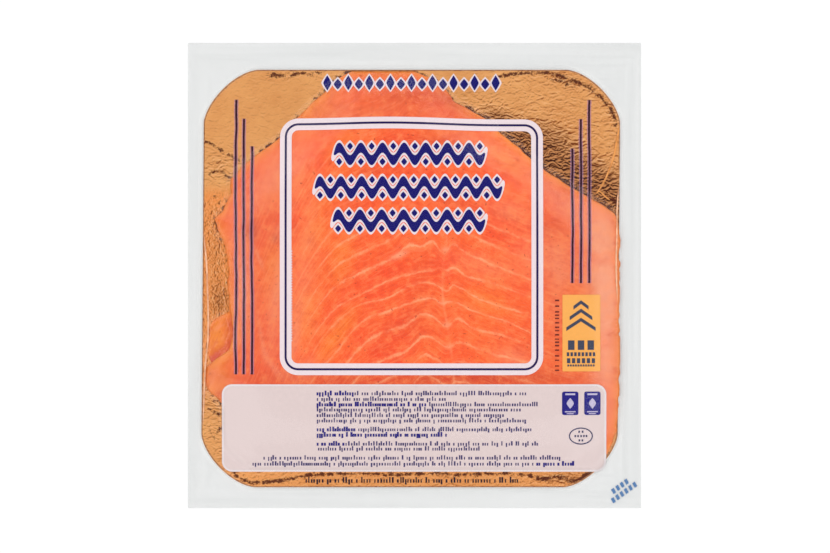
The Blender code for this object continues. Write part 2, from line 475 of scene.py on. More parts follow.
def fishWaves(x, y):
    # the slices lie in low, long waves
    return 0.16 * mm * layeredNoise(x, y, 46 * mm, 34 * mm, 5, 2)


def lowerTop(x, y):
    inset = readRaster(lowerInsetTable, x, y)
    base = board["underside"] + board["thickness"] + board["foil"] + 0.1 * mm
    return base + sliceThickness(lowerSlice, inset, y)


def softened(values, width):
    # repeated three-point averages spread a step over about the given width
    for _ in range(int((width / film["rasterStep"]) ** 2 * 2) + 1):
        values = (np.roll(values, 1, 0) + 2 * values + np.roll(values, -1, 0)) / 4
        values = (np.roll(values, 1, 1) + 2 * values + np.roll(values, -1, 1)) / 4
    return values


drapedLower = np.maximum(softened(lowerTop(gridX, gridY), 4.5 * mm), lowerTop(gridX, gridY))
drapedLower = softened(drapedLower, 1.5 * mm)


def topSliceTop(x, y):
    inset = readRaster(topInsetTable, x, y)
    rise = smoothStep(inset / (12 * mm))
    height = readRaster(drapedLower, x, y) + 0.1 * mm + sliceThickness(topSlice, inset, y)
    return height + rise * fishWaves(x, y)


def contentsTop(x, y):
    # height of whatever lies under the film
    height = np.full(x.shape, 0.0)
    height = np.where(boardInset(x, y) > 0, boardTop(x, y), height)
    height = np.where(readRaster(lowerInsetTable, x, y) > 0, np.maximum(height, lowerTop(x, y)), height)
    return np.where(readRaster(topInsetTable, x, y) > 0, np.maximum(height, topSliceTop(x, y)), height)


def drapeFilm():
    # The film's height: the contents, spread sideways as far as the film stands off
    # every step, then smoothed, and never lower than the sealed margin.
    height = contentsTop(gridX, gridY)
    for _ in range(int(round(film["tentWidth"] / film["rasterStep"]))):
        height = np.maximum.reduce([np.roll(height, s, a) for s in (-1, 0, 1) for a in (0, 1)])
    return np.maximum(softened(height, 0.7 * mm) + film["clearance"], film["seal"])


filmTable = drapeFilm()
print("relief worked out, film", round(filmTable.max() / mm, 2), "mm at its highest")


def filmTop(x, y):
    return readRaster(filmTable, x, y)


def clearFilm():
    # PA/PE laminate, cast and heat sealed: clear and glossy over the contents, slightly
    # milky where the two webs are sealed together, white where it has been creased
    material, tree = newMaterial("clear PA-PE film, cast and heat sealed")
    cloud = addNode(tree, "ShaderNodeAttribute", attribute_name="cloud")
    clear = addNode(tree, "ShaderNodeBsdfTransparent", {"Color": hexColour("#fefefe")})
    milk = addNode(tree, "ShaderNodeBsdfDiffuse", {"Color": hexColour("#d6d9d8")})
    body = addNode(tree, "ShaderNodeMixShader", {
        0: cloud.outputs["Fac"], 1: clear.outputs[0], 2: milk.outputs[0]})
    gloss = addNode(tree, "ShaderNodeBsdfGlossy", {"Color": hexColour("#ffffff"), "Roughness": 0.12})
    facing = addNode(tree, "ShaderNodeLayerWeight", {"Blend": 0.5})
    steep = addNode(tree, "ShaderNodeMath", {0: facing.outputs["Facing"], 1: 5.0}, operation="POWER")
    mirror = addNode(tree, "ShaderNodeMath", {
        0: steep.outputs[0], 1: 0.97, 2: 0.022}, operation="MULTIPLY_ADD")
    skin = addNode(tree, "ShaderNodeMixShader", {
        0: mirror.outputs[0], 1: body.outputs[0], 2: gloss.outputs[0]})
    addNode(tree, "ShaderNodeOutputMaterial", {"Surface": skin.outputs[0]})
    return material


filmCloud = {"contents": 0.003, "seal": 0.15, "reach": 1.8 * mm, "bands": 0.22}


def cloudAt(x, y):
    # Share of milkiness: next to none over the contents, rising past the board's edge,
    # with faint bands that run along the nearest side of the pouch
    outside = smoothStep(-boardInset(x, y) / filmCloud["reach"])
    upright = layeredNoise(x, y, 2.6 * mm, 70 * mm, 71, 2)
    level = layeredNoise(x, y, 70 * mm, 2.6 * mm, 75, 2)
    sideways = smoothStep((np.abs(x) - np.abs(y)) / (8 * mm) + 0.5)
    bands = 1 + filmCloud["bands"] * (upright * sideways + level * (1 - sideways))
    return filmCloud["contents"] + (filmCloud["seal"] * bands - filmCloud["contents"]) * outside


def makePouchFilm():
    # The two webs, sealed together round the rim: the upper one drapes over the
    # contents and the lower one lies flat under the board.
    edgeX = board["width"] / 2
    edgeY = board["length"] / 2
    zonesX = ((-edgeX - 6 * mm, -edgeX + 16 * mm), (edgeX - 16 * mm, edgeX + 6 * mm))
    zonesY = ((-edgeY - 6 * mm, -edgeY + 12 * mm), (edgeY - 12 * mm, edgeY + 6 * mm))
    columns = gridLines(pouchLow.x, pouchHigh.x, zonesX, 0.62 * mm, 1.15 * mm)
    rows = gridLines(pouchLow.y, pouchHigh.y, zonesY, 0.70 * mm, 1.15 * mm)
    x, y = np.meshgrid(columns, rows)
    piece = addPiece("pouchFilm", [sheetParts(x, y, filmTop(x, y), 0.0)], clearFilm())
    addPointValue(piece, "cloud", cloudAt(x, y))
    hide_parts("pouch")
    print("pouch film", x.shape, "points")


makePouchFilm()

# Pinched pleats of the film, as (x, y) in millimetres, with width and raised height
pleats = {
    "left": (((-97.6, 19.2), (-96.2, 2.5), (-95.9, -6.7), (-95.6, -16.9), (-95.8, -31.0),
              (-96.8, -40.1), (-97.5, -55.2), (-98.0, -69.0)), 0.8),
    "rightUpper": (((94.9, 69.5), (94.3, 65.5), (93.7, 62.4), (92.5, 56.1), (90.5, 49.8), (88.2, 44.3),
                    (86.2, 40.8), (84.2, 37.9)), 0.85),
    "rightBranch": (((84.2, 38.0), (85.6, 39.0), (86.8, 38.2), (88.6, 36.4), (90.5, 35.0)), 0.7),
    "rightLower": (((94.6, 41.0), (94.0, 33.0), (93.7, 20.0), (93.4, 2.0), (93.9, -11.4)), 0.7),
}
pleatGlints = {"rightUpper": "#f0a050", "rightBranch": "#e89848"}      # painted highlight colours, orange where gold lies under the pleat


def pleatedFilm(glintColour):
    # the same laminate folded double and pressed: it scatters along the fold, and its glints are painted highlights,
    # a pale base colour mixed in patches with the clear film
    material, tree = newMaterial("clear PA-PE film, pinched in pleats")
    place = addNode(tree, "ShaderNodeTexCoord")
    flicker = addNode(tree, "ShaderNodeTexNoise", {
        "Vector": place.outputs["Object"], "Scale": 160.0, "Detail": 3.0})
    share = addNode(tree, "ShaderNodeMapRange", {
        "Value": flicker.outputs[0], "From Min": 0.36, "From Max": 0.56, "To Min": 0.35, "To Max": 0.9})
    clear = addNode(tree, "ShaderNodeBsdfTransparent", {"Color": hexColour("#fdfeff")})
    glint = addNode(tree, "ShaderNodeBsdfPrincipled", {
        "Base Color": hexColour(glintColour), "Roughness": 0.3})
    mixed = addNode(tree, "ShaderNodeMixShader", {
        0: share.outputs[0], 1: clear.outputs[0], 2: glint.outputs[0]})
    addNode(tree, "ShaderNodeOutputMaterial", {"Surface": mixed.outputs[0]})
    return material


def makePleats():
    # each pleat is a low ridge on the film: half an ellipse high along a curve
    for name, (points, width) in pleats.items():
        # fcc49a is the pale peach painted highlight of the other pleats
        material = pleatedFilm(pleatGlints.get(name, "#fcc49a"))
        path = pathPoints(points, 0.8 * mm)
        ends = np.minimum(np.linspace(0, 1, len(path)), np.linspace(1, 0, len(path)))
        taper = 0.25 + 0.75 * smoothStep(ends * 8)
        x, y = bandGrid(path, width * mm * taper, 4)
        crown = 0.16 * mm * np.sqrt(1 - np.linspace(-0.98, 0.98, 5) ** 2)[None, :] * taper[:, None]
        base = filmTop(x, y) + 0.02 * mm
        addPiece("filmPleat" + name[0].upper() + name[1:], [sheetParts(x, y, base + crown, base)],
                 material)


makePleats()
print("film done")


def goldFoil(name, dull=0.0):
    # Aluminium foil with gold lacquer, laminated to card: satin metal. Its small creases
    # show as painted shade and painted highlights, short dark strokes with a lit side drawn from the slope of a
    # noise.
    material, tree = newMaterial(name)
    crushed, warm, foldShade = (
        addNode(tree, "ShaderNodeAttribute", attribute_name=key).outputs["Fac"]
        for key in ("crushed", "warm", "foldShade"))
    place = addNode(tree, "ShaderNodeTexCoord")
    strokes, knots = [], []
    for shift in (0.0, 0.3):          # strokes 4 mm long and 2 mm apart, rising to the right
        space = addNode(tree, "ShaderNodeMapping", {
            "Vector": place.outputs["Object"], "Location": (0, shift, 0), "Rotation": (0, 0, -0.12),
            "Scale": (240, 470, 250)})
        strokes.append(addNode(tree, "ShaderNodeTexNoise", {
            "Vector": space.outputs[0], "Scale": 1.0, "Detail": 4.0, "Roughness": 0.62, "Distortion": 1.5}))
    for shift in (0.0, 0.3):          # rounder crush marks, 2 mm across, for the left side
        space = addNode(tree, "ShaderNodeMapping", {
            "Vector": place.outputs["Object"], "Location": (shift, 0, 0), "Scale": (620, 400, 420)})
        knots.append(addNode(tree, "ShaderNodeTexNoise", {
            "Vector": space.outputs[0], "Scale": 1.0, "Detail": 3.0, "Roughness": 0.65, "Distortion": 0.8}))
    strokeSlope = addNode(tree, "ShaderNodeMath", {
        0: strokes[0].outputs[0], 1: strokes[1].outputs[0]}, operation="SUBTRACT")
    knotSlope = addNode(tree, "ShaderNodeMath", {
        0: knots[0].outputs[0], 1: knots[1].outputs[0]}, operation="SUBTRACT")
    slope = addNode(tree, "ShaderNodeMix", {
        "Factor": warm, 2: strokeSlope.outputs[0], 3: knotSlope.outputs[0]})
    gain = addNode(tree, "ShaderNodeMath", {0: crushed, 1: 12.0, 2: 0.35}, operation="MULTIPLY_ADD")
    relief = addNode(tree, "ShaderNodeMath", {0: slope.outputs[0], 1: gain.outputs[0]}, operation="MULTIPLY")
    # painted shade where the noise slopes one way, painted highlight where it slopes the other
    creaseShadeShare = addNode(tree, "ShaderNodeMapRange", {
        "Value": relief.outputs[0], "From Min": 0.04, "From Max": 0.74, "To Min": 0.0, "To Max": 1.0})
    creaseHighlightShare = addNode(tree, "ShaderNodeMapRange", {
        "Value": relief.outputs[0], "From Min": -0.05, "From Max": -0.8, "To Min": 0.0, "To Max": 0.85})
    # painted shade: the most crushed foil, beside the slice, is darkened towards brown
    shadeDown = addNode(tree, "ShaderNodeMapRange", {
        "Value": crushed, "From Min": 0.3, "From Max": 0.8, "To Min": 0.0, "To Max": 0.85})
    clouds = addNode(tree, "ShaderNodeTexNoise", {     # slow change of tone, 30 mm across
        "Vector": place.outputs["Object"], "Scale": 34.0, "Detail": 9.0, "Roughness": 0.72})
    clouded = addNode(tree, "ShaderNodeMapRange", {
        "Value": clouds.outputs[0], "From Min": 0.3, "From Max": 0.7, "To Min": 0.0, "To Max": 1.0})
    tone = addNode(tree, "ShaderNodeMix", {
        "Factor": clouded.outputs[0], 6: hexColour("#dc9352"), 7: hexColour("#f3b06c")}, data_type="RGBA")
    gold = addNode(tree, "ShaderNodeMix", {
        "Factor": warm, 6: tone.outputs[2], 7: hexColour("#f8964c")}, data_type="RGBA")
    shaded = addNode(tree, "ShaderNodeMix", {
        "Factor": shadeDown.outputs[0], 6: gold.outputs[2], 7: hexColour("#84431c")}, data_type="RGBA")
    # painted highlight colour for the lit side of the strokes
    glint = addNode(tree, "ShaderNodeMix", {
        "Factor": shadeDown.outputs[0], 6: hexColour("#f9c48c"), 7: hexColour("#d08a4e")}, data_type="RGBA")
    lit = addNode(tree, "ShaderNodeMix", {
        "Factor": creaseHighlightShare.outputs[0], 6: shaded.outputs[2], 7: glint.outputs[2]}, data_type="RGBA")
    # painted shade colour for the dark side of the strokes, near black where the foil is shaded
    creaseShadeColour = addNode(tree, "ShaderNodeMix", {
        "Factor": shadeDown.outputs[0], 6: hexColour("#8a3c0c"), 7: hexColour("#200802")}, data_type="RGBA")
    creaseShaded = addNode(tree, "ShaderNodeMix", {
        "Factor": creaseShadeShare.outputs[0], 6: lit.outputs[2], 7: creaseShadeColour.outputs[2]}, data_type="RGBA")
    torn = addNode(tree, "ShaderNodeTexNoise", {       # ragged by 1 mm
        "Vector": place.outputs["Object"], "Scale": 520.0, "Detail": 4.0, "Roughness": 0.7})
    tornBy = addNode(tree, "ShaderNodeMath", {0: torn.outputs[0], 1: 1.7, 2: foldShade}, operation="MULTIPLY_ADD")
    # painted shadow in the gap along the slice and painted shade in the folds, with ragged edges
    foldShadeShare = addNode(tree, "ShaderNodeMapRange", {
        "Value": tornBy.outputs[0], "From Min": 1.5, "From Max": 1.72, "To Min": 0.0, "To Max": 0.95})
    foldShaded = addNode(tree, "ShaderNodeMix", {
        "Factor": foldShadeShare.outputs[0], 6: creaseShaded.outputs[2], 7: hexColour("#541a04")}, data_type="RGBA")
    if dull:
        foldShaded = addNode(tree, "ShaderNodeMix", {
            "Factor": dull, 6: foldShaded.outputs[2], 7: hexColour("#5b2a18")}, data_type="RGBA")
    bump = addNode(tree, "ShaderNodeBump", {
        "Height": strokes[0].outputs[0], "Strength": 0.15, "Distance": 0.0001})
    shader = addNode(tree, "ShaderNodeBsdfPrincipled", {
        "Base Color": foldShaded.outputs[2], "Metallic": 0.92, "Roughness": 0.42, "Normal": bump.outputs[0]})
    addNode(tree, "ShaderNodeOutputMaterial", {"Surface": shader.outputs[0]})
    return material


def boardCard():
    # bleached board under the foil: matt, off-white, with faint fibre mottle
    material, tree = newMaterial("solid bleached board")
    place = addNode(tree, "ShaderNodeTexCoord")
    fibre = addNode(tree, "ShaderNodeTexNoise", {
        "Vector": place.outputs["Object"], "Scale": 900.0, "Detail": 3.0})
    tone = addNode(tree, "ShaderNodeMix", {
        "Factor": fibre.outputs[0], 6: hexColour("#cfccc6"), 7: hexColour("#e4e2dd")}, data_type="RGBA")
    shader = addNode(tree, "ShaderNodeBsdfPrincipled", {"Base Color": tone.outputs[2], "Roughness": 0.8})
    addNode(tree, "ShaderNodeOutputMaterial", {"Surface": shader.outputs[0]})
    return material


def boardRows(fine, coarse):
    low = board["centreY"] - board["length"] / 2
    high = board["centreY"] + board["length"] / 2
    rows = gridLines(low, high, ((low, low + 10 * mm), (25 * mm, high)), fine, coarse)
    span = roundedSpan(rows - board["centreY"], board["width"], board["length"],
                       board["radius"], board["cornerPower"])
    return rows, boardMiddle(rows) - span, boardMiddle(rows) + span


def makeBoard():
    rows, left, right = boardRows(1.2 * mm, 3.0 * mm)
    x, y = spanGrid(rows, left, right, np.linspace(0, 1, 61))
    top = board["underside"] + board["thickness"]
    addPiece("boardCard", [sheetParts(x, y, top, board["underside"])], boardCard())
    rows, left, right = boardRows(0.8 * mm, 1.3 * mm)
    columns = gridLines(0, 1, ((0, 0.34), (0.6, 1)), 0.8 / 193, 2.4 / 193, ease=0.04)
    x, y = spanGrid(rows, left, right, columns)
    foil = addPiece("boardFoil", [sheetParts(x, y, boardTop(x, y), top)],
                    goldFoil("gold-lacquered aluminium foil, laminated"))
    addPointValue(foil, "crushed", readRaster(crushTable, x, y))
    addPointValue(foil, "foldShade", foilFoldShade(x, y))
    left = smoothStep((-80 * mm - x) / (6 * mm)) * smoothStep((44 * mm - y) / (9 * mm))
    left = left * smoothStep((y + 60 * mm) / (12 * mm)) * 0.8
    foot = 0.3 * smoothStep((-86 * mm - y) / (4 * mm))
    addPointValue(foil, "warm", np.maximum(left, foot))


def makeBoardRim():
    # the foil's cut edge, pressed down over the card: a thin dark bead round the outline
    size = (board["width"] - board["rimWidth"], board["length"] - board["rimWidth"])
    path = roundedPath((board["centreX"], board["centreY"]), size, board["radius"], 1.0 * mm,
                       board["cornerPower"])
    path[:, 0] += boardMiddle(path[:, 1]) - board["centreX"]
    x, y = bandGrid(path, board["rimWidth"], 4, closed=True)
    bead = 0.06 * mm * np.sqrt(1 - np.linspace(-0.98, 0.98, 5) ** 2)[None, :]
    base = board["underside"] + board["thickness"] + board["foil"] + 0 * x
    rim = addPiece("boardRim", [sheetParts(x, y, base + bead, base - 0.3 * mm, True)],
                   goldFoil("gold-lacquered aluminium foil, cut edge", 0.62))
    addPointValue(rim, "crushed", 0.3 + 0 * x)


makeBoard()
makeBoardRim()
print("board done")

# Seams of fat as heights (x, y) in millimetres, from the top one down. They arch over
# the midline with a double peak and turn down steeply past the belly line on the left.
grain = {
    "midline": ((14.6, 60), (14.4, 13), (13.0, 3.5), (13.3, -12), (15.0, -22.5), (16.5, -32), (20, -88)),
    "seams": (
        ((-34.5, -3.5), (-24.1, 1.6), (-12.6, 6.8), (-8.0, 9.1), (-3.0, 13.9), (3.5, 13.3),
         (8.1, 16.0), (13.6, 10.2), (17.3, 14.1), (23.4, 11.0), (30.4, 7.6), (52.6, -1.6)),
        ((-34.5, -14.1), (-24.1, -8.6), (-8.7, -1.3), (2.4, 1.4), (9.6, 2.9), (11.1, 4.1),
         (13.4, 3.0), (18.1, 3.5), (23.4, 0.2), (32.2, -2.5), (52.6, -9.5)),
        ((-34.5, -20.2), (-29.1, -15.5), (-12.2, -10.2), (-1.2, -4.4), (7.6, -3.2), (11.5, -5.1),
         (15.8, -6.7), (17.3, -4.4), (19.2, -4.8), (27.3, -9.7), (52.6, -18.0)),
        ((-34.5, -33.4), (-29.9, -27.0), (-24.9, -22.0), (-8.7, -15.1), (2.7, -10.9), (9.2, -10.7),
         (13.1, -12.8), (14.6, -12.1), (18.1, -12.1), (25.7, -15.9), (45.0, -22.0), (52.6, -26.0)),
        ((-34.5, -44.7), (-26.1, -34.4), (-22.2, -30.5), (-8.7, -24.0), (-3.0, -21.6), (1.9, -17.8),
         (9.2, -19.0), (15.0, -23.6), (19.2, -19.7), (27.3, -24.3), (37.3, -26.3), (52.6, -31.8)),
        ((-34.5, -56.0), (-22.9, -44.3), (-14.5, -39.4), (-3.0, -34.4), (4.6, -27.8), (9.6, -29.7),
         (16.5, -33.0), (18.8, -31.3), (22.7, -31.3), (29.6, -34.4), (52.6, -40.0)),
    ),
    "spacing": 9.0 * mm,                         # above the first seam and below the last
    "flankLeft": 0.8, "curlLeft": 30.0, "curlReach": 25 * mm, "flankRight": 0.38,
    # spots as (x, y, half length, half width, degrees, strength)
    "pale": (
        (-7, 9.5, 4, 1.3, 25, 0.8), (14.3, 12, 1.7, 1.2, 0, 0.7), (13.3, -12.3, 1.6, 1.0, 0, 0.5),
        (15, -22.7, 1.7, 1.1, 0, 0.6), (16.5, -32.5, 1.5, 1.0, 0, 0.4),
        (62, 8, 12, 16, 80, 0.28), (88, 10, 40, 9, 90, 0.85), (89, -30, 45, 8, 90, 0.7),
        (-50, 4, 34, 6, 86, 0.22), (-66, 35, 20, 10, 45, 0.22), (72, 32, 12, 6, -35, 0.4),
        (58, 44, 9, 4, -38, 0.3), (44, 30, 12, 7, -20, 0.25), (34, 58, 14, 5, -20, 0.2),
        (30, 5, 16, 5, -15, 0.2), (-20, 74, 18, 5, 8, 0.15), (66, -8, 20, 6, 85, 0.25),
        (-80, -8, 34, 5, 90, 0.5), (-64, -20, 30, 8, 90, 0.2), (-93, -33, 3, 0.8, 60, 0.6),
        (-91, -24, 3, 0.8, 30, 0.6), (-94, -50, 4, 1.1, 80, 0.5), (-88, -30, 3, 0.7, 100, 0.5),
        (-62, 48, 16, 7, 42, 0.25), (-70.5, -30, 9, 0.9, 100, 0.4), (-66, -42, 6, 0.8, 120, 0.4),
        (-61, -8, 7, 0.9, 108, 0.4), (-63, -44, 5, 0.7, 125, 0.35), (-58, -46, 4, 0.6, 130, 0.35),
        (-72, 8, 6, 0.8, 112, 0.35), (-50, -44, 6, 4, 60, 0.4), (45, -38, 10, 5, -20, 0.25),
        (-56, -30, 16, 2.5, 80, 0.35), (-64, -10, 18, 2.5, 84, 0.3), (-60, 26, 9, 2.5, 60, 0.3),
    ),
    "deep": (
        (2, -2, 14, 5, 80, 0.25), (4, -18, 12, 8, 80, 0.2), (8, 62, 18, 3, 0, 0.6),
        (-12, -28, 14, 8, 40, 0.2), (2, 83, 18, 4, 0, 0.5), (-38, 72, 8, 4, 45, 0.25),
        (-75.5, 21, 2.4, 4.4, 0, 1.8), (-64.3, 16.8, 1.9, 2.0, 0, 1.0), (-60, 22, 6, 3, 0, 0.3), (-49, 16, 3, 4, 0, 0.3),
        (60, 22, 6, 5, 0, 0.4), (44, 27, 8, 2, -15, 0.5), (50, -32, 6, 10, 0, 0.25),
        (-20, -48, 75, 3.5, 0, 0.6), (50, -47, 30, 3.5, 0, 0.5), (-93.2, -45, 2.5, 3.5, -35, 0.35),
        (-90.5, -55, 2.5, 3, 0, 0.8), (-92.5, -37.5, 2.6, 0.8, 40, 0.5), (-91, -21, 1.6, 0.6, 0, 0.5), (-20, 48, 12, 2.5, 10, 0.35), (20, 33, 10, 2.2, -10, 0.4),
        (18, 80, 8, 3, -30, 0.5), (-28, 30, 5, 6, 70, 0.3),
    ),
    "amber": (
        (-92, -29, 12, 8, 90, 0.85), (-35, 6, 14, 6, 70, 0.5), (-38, 40, 12, 6, 50, 0.3),
        (-50, -18, 16, 5, 82, 0.45), (-47, 18, 10, 5, 70, 0.4), (-40, -34, 10, 5, 60, 0.4),
        (-46, 72, 12, 6, 48, 0.5), (42, 54, 12, 4, -38, 0.5), (-90, -52, 12, 5, 90, 0.95),
        (-32, -22, 12, 5, 60, 0.4), (36, -14, 14, 5, -18, 0.35), (-66, 6, 12, 4, 85, 0.35),
        (16, 68, 10, 5, 0, 0.3), (78, -8, 10, 6, 0, 0.2), (-34, 60, 8, 4, 50, 0.35),
    ),
}


def grainAcross(x, y):
    return x - curveThrough(grain["midline"], y)


def grainLayer(x, y):
    # Number of the muscle layer at a point: every seam passed on the way down adds one,
    # evenly from seam to seam. Beyond the listed ends all seams fall away together.
    start, end = grain["seams"][0][0][0] * mm, grain["seams"][0][-1][0] * mm
    left, right = np.maximum(start - x, 0), np.maximum(x - end, 0)
    bent = np.minimum(left, grain["curlReach"])
    fall = grain["flankLeft"] * left + grain["curlLeft"] * bent ** 2 + grain["flankRight"] * right
    fall = fall + 2 * grain["curlLeft"] * grain["curlReach"] * (left - bent)
    heights = [curveThrough([(b, a) for a, b in seam], x) - fall for seam in grain["seams"]]
    layer = np.minimum((heights[0] - y) / grain["spacing"], 0)
    layer = layer + np.maximum((heights[-1] - y) / grain["spacing"], 0)
    for upper, lower in zip(heights, heights[1:]):
        layer = layer + np.clip((upper - y) / (upper - lower), 0, 1)
    return layer + 0.07 * layeredNoise(x, y, 18 * mm, 12 * mm, 21, 3)


def curedFlesh(name):
    # Cold-smoked salmon, sliced thin and pressed under the film: moist, a little
    # translucent, orange muscle in layers, with thin broken seams of pale fat between
    material, tree = newMaterial(name)
    uv = addNode(tree, "ShaderNodeUVMap", uv_map="grain")
    place = addNode(tree, "ShaderNodeTexCoord")
    spread = {key: addNode(tree, "ShaderNodeAttribute", attribute_name=key).outputs["Fac"]
              for key in ("pale", "deep", "amber", "seams", "dull")}
    wobble = addNode(tree, "ShaderNodeTexNoise", {      # wanders by 0.6 mm
        "Vector": place.outputs["Object"], "Scale": 340.0, "Detail": 4.0, "Roughness": 0.7})
    axes = addNode(tree, "ShaderNodeSeparateXYZ", {0: uv.outputs[0]})
    offset = addNode(tree, "ShaderNodeMath", {0: wobble.outputs[0], 1: 0.32, 2: -0.16}, operation="MULTIPLY_ADD")
    layer = addNode(tree, "ShaderNodeMath", {0: offset.outputs[0], 1: axes.outputs[1]}, operation="ADD")
    away = addNode(tree, "ShaderNodeMath", {0: layer.outputs[0], 1: 0.5}, operation="PINGPONG")
    core = addNode(tree, "ShaderNodeMapRange", {
        "Value": away.outputs[0], "From Min": 0.0, "From Max": 0.11, "To Min": 0.92, "To Max": 0.0},
        interpolation_type="SMOOTHSTEP")
    glow = addNode(tree, "ShaderNodeMapRange", {
        "Value": away.outputs[0], "From Min": 0.0, "From Max": 0.34, "To Min": 0.24, "To Max": 0.0},
        interpolation_type="SMOOTHSTEP")
    patchy = addNode(tree, "ShaderNodeTexNoise", {
        "Vector": place.outputs["Object"], "Scale": 110.0, "Detail": 5.0, "Roughness": 0.7})
    shown = addNode(tree, "ShaderNodeMapRange", {
        "Value": patchy.outputs[0], "From Min": 0.4, "From Max": 0.66, "To Min": 0.12, "To Max": 1.0})
    strength = addNode(tree, "ShaderNodeMath", {0: shown.outputs[0], 1: spread["seams"]}, operation="MULTIPLY")
    coreShare = addNode(tree, "ShaderNodeMath", {
        0: core.outputs[0], 1: strength.outputs[0]}, operation="MULTIPLY")
    glowShare = addNode(tree, "ShaderNodeMath", {
        0: glow.outputs[0], 1: strength.outputs[0]}, operation="MULTIPLY")
    fromMiddle = addNode(tree, "ShaderNodeMath", {0: axes.outputs[0]}, operation="ABSOLUTE")
    midline = addNode(tree, "ShaderNodeMapRange", {     # a hair of fat along the midline
        "Value": fromMiddle.outputs[0], "From Min": 0.0, "From Max": 0.09, "To Min": 0.45, "To Max": 0.0})
    midlineShare = addNode(tree, "ShaderNodeMath", {
        0: midline.outputs[0], 1: strength.outputs[0]}, operation="MULTIPLY")
    broad = addNode(tree, "ShaderNodeTexNoise", {       # redder and yellower parts, 25 mm across
        "Vector": place.outputs["Object"], "Scale": 42.0, "Detail": 4.0, "Roughness": 0.6})
    broadShare = addNode(tree, "ShaderNodeMapRange", {
        "Value": broad.outputs[0], "From Min": 0.36, "From Max": 0.64, "To Min": 0.0, "To Max": 1.0})
    mottle = addNode(tree, "ShaderNodeTexNoise", {      # flecks of light and dark, 3 to 4 mm across
        "Vector": place.outputs["Object"], "Scale": 250.0, "Detail": 7.0, "Roughness": 0.74})
    mottleLight = addNode(tree, "ShaderNodeMapRange", {
        "Value": mottle.outputs[0], "From Min": 0.5, "From Max": 0.7, "To Min": 0.0, "To Max": 0.7})
    mottleDark = addNode(tree, "ShaderNodeMapRange", {
        "Value": mottle.outputs[0], "From Min": 0.5, "From Max": 0.3, "To Min": 0.0, "To Max": 0.5})
    fibreSpace = addNode(tree, "ShaderNodeMapping", {"Vector": uv.outputs[0], "Scale": (1.4, 6.5, 1.0)})
    fibre = addNode(tree, "ShaderNodeTexNoise", {       # streaks along the layers, 1.4 mm apart
        "Vector": fibreSpace.outputs[0], "Scale": 1.0, "Detail": 4.0, "Roughness": 0.62, "Distortion": 0.7})
    fibreLight = addNode(tree, "ShaderNodeMapRange", {
        "Value": fibre.outputs[0], "From Min": 0.5, "From Max": 0.74, "To Min": 0.0, "To Max": 0.5})
    fibreDark = addNode(tree, "ShaderNodeMapRange", {
        "Value": fibre.outputs[0], "From Min": 0.5, "From Max": 0.28, "To Min": 0.0, "To Max": 0.45})
    speck = addNode(tree, "ShaderNodeTexNoise", {
        "Vector": place.outputs["Object"], "Scale": 620.0, "Detail": 1.0})
    speckShare = addNode(tree, "ShaderNodeMapRange", {
        "Value": speck.outputs[0], "From Min": 0.71, "From Max": 0.78, "To Min": 0.0, "To Max": 0.6})
    tone = addNode(tree, "ShaderNodeMix", {
        "Factor": broadShare.outputs[0], 6: hexColour("#f74c18"), 7: hexColour("#fd6724")},
        data_type="RGBA").outputs[2]
    layers = (
        (spread["amber"], "#f78a20"), (spread["deep"], "#d03208"), (fibreDark.outputs[0], "#e03f0e"),
        (spread["pale"], "#f9a27a"), (mottleDark.outputs[0], "#d93a0c"), (mottleLight.outputs[0], "#ff8a4c"),
        (fibreLight.outputs[0], "#fd8f58"), (glowShare.outputs[0], "#ff9a62"),
        (midlineShare.outputs[0], "#ffa878"), (coreShare.outputs[0], "#ffa574"),
        (speckShare.outputs[0], "#a82806"), (spread["dull"], "#a0603c"),
    )
    for share, colour in layers:
        tone = addNode(tree, "ShaderNodeMix", {"Factor": share, 6: tone, 7: hexColour(colour)},
                       data_type="RGBA").outputs[2]
    fine = addNode(tree, "ShaderNodeTexNoise", {
        "Vector": place.outputs["Object"], "Scale": 1300.0, "Detail": 2.0})
    bump = addNode(tree, "ShaderNodeBump", {"Height": fine.outputs[0], "Strength": 0.3, "Distance": 0.0001})
    shader = addNode(tree, "ShaderNodeBsdfPrincipled", {
        "Base Color": tone, "Roughness": 0.5, "Normal": bump.outputs[0], "Specular IOR Level": 0.3})
    addNode(tree, "ShaderNodeOutputMaterial", {"Surface": shader.outputs[0]})
    return material


